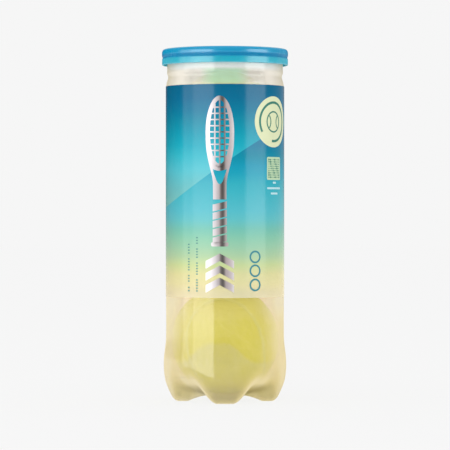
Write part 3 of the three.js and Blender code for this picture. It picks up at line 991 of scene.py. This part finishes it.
def finger_well(radius, angle):
    """Stamped well under the finger ring, and a raised bead round it."""
    if radius >= 28:
        return 0
    x, y = radius * math.sin(angle), -radius * math.cos(angle)
    d = math.hypot((x - 6.5) / 10.0, y / 9.0)
    well = -0.55 * max(0, 1 - d ** 4)
    return well + 0.16 * math.exp(-((d - 1.15) / 0.07) ** 2)


def add_tear_panel():
    radii = list(np.linspace(0, 28.4, 40)) + list(np.linspace(28.7, 33.9, 24))
    rows = [[on_circle(r, a, panel_height(r) + finger_well(r, a) + offset)
             for a in turns(PANEL_SEGMENTS if r > 0 else 1)]
            for offset in (0, -PANEL_SHEET) for r in radii]
    vertices, rings = stack_rings(rows, PANEL_SEGMENTS)
    top, bottom = rings[:len(radii)], rings[len(radii):]
    faces = band_faces(top) + [face[::-1] for face in band_faces(bottom)]
    faces += band_faces([top[-1], bottom[-1]])
    panel = mesh_object("tear_off_panel", vertices, faces, sharp_angle=45)
    finish_piece(panel, "opened_end", "aluminium_end", ALUMINIUM, "tear_panel")


def add_rivet():
    rivet = lathe("rivet", round_corners(RIVET_PROFILE), segments=48, sharp_angle=50)
    rivet.data.transform(Matrix.Translation((RIVET_X * MM, 0, 0)))
    finish_piece(rivet, "opened_end", "aluminium_tab", TAB_METAL)


# ring pull, seen from above with its nose towards +X: (x, y) points of Bezier curves
TAB_CURVES = [
    ((31, -3.2), (31.6, -1.2), (31.6, 1.2), (31, 3.2)),
    ((31, 3.2), (29.5, 7.4), (25, 8.6), (20, 8.8)),
    ((20, 8.8), (9, 10.6), (2.5, 9.0), (2.5, 0)),
    ((2.5, 0), (2.5, -9.0), (9, -10.6), (20, -8.8)),
    ((20, -8.8), (25, -8.6), (29.5, -7.4), (31, -3.2))]
TAB_STEPS = 24  # in each curve
TAB_BEVEL = 0.45
TAB_HALF_THICKNESS = 0.62


def tab_outline():
    """Outline of the tab, drawn in by the bevel."""
    points = []
    for a, b, c, d in TAB_CURVES:
        for k in range(TAB_STEPS):
            t = k / TAB_STEPS
            q = 1 - t
            points.append(tuple(q**3 * a[n] + 3 * q * q * t * b[n] + 3 * q * t * t * c[n]
                                + t**3 * d[n] for n in (0, 1)))
    drawn_in = []
    for i, (x, y) in enumerate(points):
        before, after = points[i - 1], points[(i + 1) % len(points)]
        along = Vector((after[0] - before[0], after[1] - before[1])).normalized()
        drawn_in.append((x - along.y * TAB_BEVEL, y + along.x * TAB_BEVEL))
    return drawn_in


def add_pull_tab():
    """Flat tab with a finger hole, and a slot round the tongue."""
    curve = bpy.data.curves.new("tab_outline", "CURVE")
    curve.dimensions = "2D"
    curve.fill_mode = "BOTH"
    b = TAB_BEVEL
    finger_hole = ellipse(11.2, 0, 6.4 + b, 6.9 + b)
    slot = rectangle(20.0 - b, -4.0 - b, 28.9 + b, 4.0 + b, 0.9)
    for outline in (tab_outline(), finger_hole, slot):
        spline = curve.splines.new("POLY")
        spline.points.add(len(outline) - 1)
        for point, (x, y) in zip(spline.points, outline):
            point.co = (x * MM, y * MM, 0, 1)
        spline.use_cyclic_u = True
    # the bevel adds to the extrusion; 0.98 of it is taken off again
    curve.extrude = TAB_HALF_THICKNESS * MM - b * MM * 0.98
    curve.bevel_depth = b * MM
    curve.bevel_resolution = 4
    drawing = link_object("tab_c", curve)
    drawing.location.z = (TAB_BOTTOM + TAB_TOP) / 2 * MM
    bpy.context.view_layer.update()
    evaluated = drawing.evaluated_get(bpy.context.evaluated_depsgraph_get())
    mesh = bpy.data.meshes.new_from_object(evaluated)
    mesh.transform(drawing.matrix_world)
    bpy.data.objects.remove(drawing)
    tab = link_object("ring_pull_tab", mesh)
    bm = bmesh.new()
    bm.from_mesh(mesh)
    bmesh.ops.remove_doubles(bm, verts=bm.verts, dist=2e-6)
    bmesh.ops.recalc_face_normals(bm, faces=bm.faces)
    bm.to_mesh(mesh)
    bm.free()
    smooth_by_angle(mesh, 50)
    finish_piece(tab, "ring_pull", "aluminium_tab", TAB_METAL, "pull_tab")


add_rim()
add_tear_panel()
add_rivet()
add_pull_tab()

# ------------------------------------------------------------------ overcap
# the profile runs from the middle of the underside round the skirt to the middle of the top
CAP_UNDERSIDE = [  # radius, depth below the cap's top
    (0, 2.2), (33.0, 2.2), (33.5, 2.1), (34.0, 1.2), (34.5, 1.1), (36.6, 1.1), (37.6, 1.3),
    (37.85, 1.9), (37.85, 4.1), (37.25, 4.8), (37.25, 5.4), (37.85, 6.1)]
CAP_HEM = [(37.9, 0.4), (38.0, 0)]  # radius, height above the cap's bottom
CAP_OUTSIDE = [  # inset from the cap's radius, height above its bottom
    (0.25, 0), (0.13, 0.3), (0.10, 2.4), (0.16, 3.9), (0.42, 4.35), (0.46, 4.7),
    (0.32, 5.0), (0.10, 5.9), (0, 7.0), (0.06, 7.9), (0.28, 8.8), (0.75, 9.5)]
CAP_BRIM = [(1.35, 0), (2.7, 0), (3.4, 0.2), (4.3, 0.35)]  # inset, depth below the top
CAP_FACE = [  # radius, depth below the cap's top
    (34.2, 0.6), (33.8, 1.3), (33.3, 1.5), (31.2, 1.5), (30.9, 1.28), (30.1, 1.28),
    (29.8, 1.5), (13.4, 1.5), (13.2, 1.36), (12.4, 1.36), (12.2, 1.5), (2.6, 1.5),
    (2.2, 1.62), (1.2, 1.62), (0.9, 1.45), (0, 1.42)]


def add_overcap():
    profile = [(r, CAP_TOP - depth) for r, depth in CAP_UNDERSIDE]
    profile += [(r, CAP_BOTTOM + rise) for r, rise in CAP_HEM]
    profile += [(CAP_RADIUS - inset, CAP_BOTTOM + rise) for inset, rise in CAP_OUTSIDE]
    profile += [(CAP_RADIUS - inset, CAP_TOP - depth) for inset, depth in CAP_BRIM]
    profile += [(r, CAP_TOP - depth) for r, depth in CAP_FACE]
    cap = lathe("push_overcap", round_corners(profile), segments=256, sharp_angle=40)
    finish_piece(cap, "cap", "cap_plastic", CAP, "overcap")


add_overcap()

# ------------------------------------------------------------------ balls
SEAM_MAIN, SEAM_WAVE = 0.75, 0.25  # shares of the two turns that make the seam curve
SEAM_RADIUS = 33.35                # distances from the seam are measured at this radius
BALL_TURNS = [(0.12, -0.25, 0.79), (1.2, 0.5, -0.4), (-1.04, 1.74, 0.51)]  # about x, y, z


def seam_point(t):
    point = np.array([SEAM_MAIN * np.cos(t) + SEAM_WAVE * np.cos(3 * t),
                      SEAM_MAIN * np.sin(t) - SEAM_WAVE * np.sin(3 * t),
                      2 * math.sqrt(SEAM_MAIN * SEAM_WAVE) * np.sin(2 * t)])
    return point / np.linalg.norm(point)


SEAM_POINTS = np.array([seam_point(t) for t in np.linspace(0, 2 * math.pi, 360, endpoint=False)])


def rotation(a, b, c):
    """Rotation matrix Rx * Ry * Rz, the order in which the CAD balls are turned."""
    ca, cb, cc = math.cos(a), math.cos(b), math.cos(c)
    sa, sb, sc = math.sin(a), math.sin(b), math.sin(c)
    about_x = np.array([[1, 0, 0], [0, ca, -sa], [0, sa, ca]])
    about_y = np.array([[cb, 0, sb], [0, 1, 0], [-sb, 0, cb]])
    about_z = np.array([[cc, -sc, 0], [sc, cc, 0], [0, 0, 1]])
    return about_x @ about_y @ about_z


def add_felt_ball(i, turn):
    """One napped felt skin over the whole ball, with the seam sunk in as a groove."""
    low, high = box_mm(f"ball_{i}_core_half_a", f"ball_{i}_core_half_b")
    centre = (low[2] + high[2]) / 2
    bm = bmesh.new()
    bmesh.ops.create_icosphere(bm, subdivisions=6, radius=1.0)
    turned = rotation(*turn)
    points = np.array([v.co for v in bm.verts])
    nearest = (points @ SEAM_POINTS.T).max(1)
    seam_distance = np.arccos(np.clip(nearest, -1, 1)) * SEAM_RADIUS
    groove = np.clip((1.95 - seam_distance) / 0.9, 0, 1)
    groove = groove * groove * (3 - 2 * groove)
    bm.verts.ensure_lookup_table()
    for n, v in enumerate(bm.verts):
        p = Vector(points[n])
        nap = (noise.noise(p * 26 + Vector((i * 3, 0, 0))) * 0.16
               + noise.noise(p * 60 + Vector((0, i * 5, 0))) * 0.13)
        radius = BALL_RADIUS + nap * (1 - groove[n]) - groove[n] * 0.62
        x, y, z = turned @ (points[n] * radius)
        v.co = Vector((x * MM, y * MM, (z + centre) * MM))
    for face in bm.faces:
        face.smooth = True
        in_seam = sum(seam_distance[v.index] for v in face.verts) / 3 < 1.25
        face.material_index = 1 if in_seam else 0
    name = f"felt_ball_{i}"
    mesh = bpy.data.meshes.new(name)
    bm.to_mesh(mesh)
    bm.free()
    ball = link_object(name, mesh)
    mesh.materials.append(FELT)
    mesh.materials.append(SEAM)
    register(ball, f"ball_{i}", "felt_yellow",
             f"ball_{i}_felt_a", f"ball_{i}_felt_b", f"ball_{i}_seam")


for i, turn in enumerate(BALL_TURNS, 1):
    add_felt_ball(i, turn)

# ------------------------------------------------------------------ CAD nodes that stay
kept_nodes = {"sealing_compound": COMPOUND, "tab_rivet_tongue": TAB_METAL}
for i in (1, 2, 3):
    for half in "ab":
        kept_nodes[f"ball_{i}_core_half_{half}"] = CORE
for name, material in kept_nodes.items():
    paint(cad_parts[name], material)


# ------------------------------------------------------------------ stage
def stage_material():
    """Glows almost evenly to the camera and is a plain matt white to all other light."""
    m = new_graph("stage_white")
    glow = m.value("Emission", {"Color": BACKDROP, "Strength": 1.0})
    matt = m.bsdf("Diffuse", Color=BACKDROP)
    seen = m.math("MAXIMUM", m.ray("Is Camera Ray"), m.ray("Is Transmission Ray"))
    glow_share = 0.9
    return m.surface(m.mix_shader(seen, matt, m.mix_shader(glow_share, matt, glow)))


def add_floor():
    half, z = 6, -0.0002
    floor = mesh_object("stage_floor", [(-half, -half, z), (half, -half, z),
                                        (half, half, z), (-half, half, z)], [(0, 1, 2, 3)])
    floor.data.materials.append(stage_material())
    floor.visible_glossy = False


def add_world():
    world = bpy.data.worlds.new("studio")
    scene.world = world
    w = Graph(world, "OutputWorld")
    fill, fill_grey = 0.97, 0.90  # radiance that matt surfaces receive, and its colour
    seen = w.value("Background", {"Color": BACKDROP, "Strength": 1.0})
    matt = w.value("Background", {"Color": (fill_grey, fill_grey, fill_grey, 1),
                                  "Strength": fill / fill_grey})
    # mirrors see a dark room on the camera's side and a lighter one behind the object,
    # brighter to the right, overhead and below the horizon
    x, y, z = w.separate(w.value("TexCoord", output="Generated"))
    behind = y.linear(over=(-0.2, 0.9), to=(0.0, 0.16))
    overhead = z.linear(over=(0.3, 0.9), to=(0.0, 0.35))
    right = x.linear(over=(-0.6, 0.6), to=(0.0, 2.8))
    below = z.linear(over=(0.0, -0.03), to=(0.0, 0.75))
    mirrored = w.value("Background", {"Color": (0.97, 0.98, 1.0, 1),
                                      "Strength": behind * right + overhead + below})
    direct = w.mix_shader(w.ray("Is Camera Ray"), matt, seen)
    w.surface(w.mix_shader(w.ray("Is Glossy Ray"), direct, mirrored))


def add_area_light(name, shape, size, energy, location, target_height):
    """An area light aimed at the can's axis."""
    light = bpy.data.lights.new(name, "AREA")
    light.shape, light.size, light.energy = shape, size, energy
    lamp = link_object(name, light)
    lamp.location = location
    aim = Vector((0, 0, target_height)) - lamp.location
    lamp.rotation_euler = aim.to_track_quat("-Z", "Y").to_euler()
    return lamp


def add_softbox(name, azimuth, bottom, top, width, radiance):
    """An upright light seen only in reflections; azimuth in degrees from the front."""
    distance = 1.0
    angle, middle = math.radians(azimuth), (bottom + top) / 2
    location = (math.sin(angle) * distance, -math.cos(angle) * distance, middle)
    energy = radiance * math.pi * width * (top - bottom)
    lamp = add_area_light(name, "RECTANGLE", width, energy, location, middle)
    lamp.data.size_y = top - bottom
    lamp.visible_diffuse = False


def add_lights():
    add_softbox("softbox_left", azimuth=-42.5, bottom=-0.30, top=0.55, width=0.77, radiance=3.4)
    add_softbox("softbox_left_wing", azimuth=-75.8, bottom=-0.30, top=0.55, width=0.43,
                radiance=1.7)
    add_softbox("softbox_right", azimuth=62, bottom=0.05, top=0.60, width=0.80, radiance=3.0)
    overhead = add_area_light("overhead", "SQUARE", size=1.2, energy=3.0,
                              location=(-0.5, -0.6, 1.1), target_height=0.11)
    overhead.visible_glossy = False


def add_camera():
    """A level camera; the lens shift brings the middle of the view down to view_height."""
    distance, height = 1.55, 0.1187
    view_width, view_height = 0.279, 0.1088
    lens = bpy.data.cameras.new("camera")
    camera = link_object("camera", lens)
    camera.location = (0, -distance, height)
    camera.rotation_euler = (math.pi / 2, 0, 0)
    lens.sensor_width = 36
    lens.lens = 36 * distance / view_width
    lens.shift_y = (view_height - height) / view_width
    lens.clip_end = 50
    scene.camera = camera


add_floor()
add_world()
add_lights()
add_camera()
scene.view_settings.view_transform = "Standard"
scene.cycles.max_bounces = 12
scene.cycles.transparent_max_bounces = 24
scene.cycles.caustics_reflective = False
scene.cycles.caustics_refractive = False
